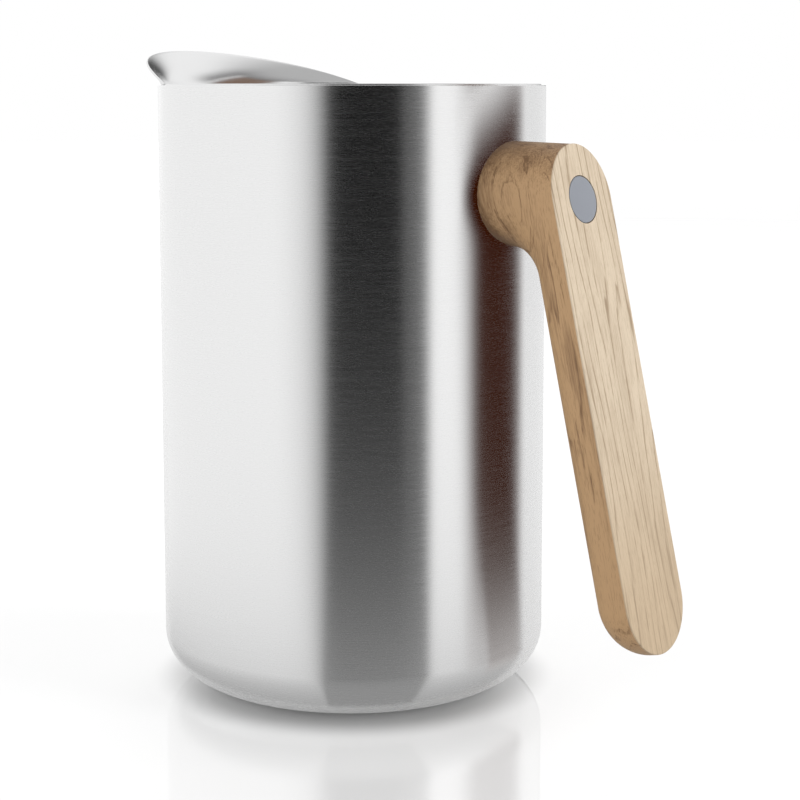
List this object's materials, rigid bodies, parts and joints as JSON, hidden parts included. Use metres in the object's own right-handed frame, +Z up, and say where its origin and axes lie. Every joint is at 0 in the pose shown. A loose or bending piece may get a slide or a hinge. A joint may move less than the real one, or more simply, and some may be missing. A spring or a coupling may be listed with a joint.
{
  "type": "insulated jug",
  "caption": "Round double-wall steel jug with a tilted pouring lip, a leaning oak bar handle and a recessed pull-out stopper with a hinged pouring flap.",
  "frame": {"origin": "centre of the base pad's flat underside, on the table", "axes": "+Z up along the body's axis, -X towards the pouring lip, +X towards the handle"},
  "size_m": [0.1856, 0.12, 0.1986],
  "materials": {
    "brushed_steel": "stainless steel sheet, fine brushing around the body",
    "satin_steel": "smooth satin stainless steel, no brushing lines",
    "bright_steel": "plain stainless steel, hidden inside the jug",
    "grey_cap": "flat grey, fine matt",
    "oak": "solid oak, oiled, grain along the bar",
    "black_plastic": "fine matt moulded plastic",
    "silicone": "matt silicone rubber",
    "foam": "hard insulating foam"
  },
  "bodies": {
    "jug": {"outer_shell": "brushed_steel", "base_plate": "bright_steel", "vacuum_plug": "bright_steel", "base_pad": "silicone", "inner_flask": "bright_steel", "flask_base": "bright_steel", "getter": "bright_steel", "pour_collar": "satin_steel", "handle_stud": "bright_steel", "handle": "oak", "handle_washer": "bright_steel", "handle_screw": "bright_steel", "handle_cap": "grey_cap"},
    "stopper": {"stopper_body": "black_plastic", "stopper_base": "black_plastic", "stopper_insulation": "foam", "lower_seal": "silicone", "upper_seal": "silicone", "flap_pin": "bright_steel"},
    "lid": {"flap": "black_plastic", "flap_cover": "satin_steel", "flap_gasket": "silicone"}
  },
  "joints": [
    {"name": "stopper_lift", "type": "slide", "parent": "jug", "child": "stopper", "axis": [0, 0, 1], "range_m": [0, 0.09]},
    {"name": "flap_tilt", "type": "hinge", "parent": "stopper", "child": "lid", "pos_m": [0.037, 0, 0.182], "axis": [0, 1, 0], "range_deg": [0, 80]}
  ]
}
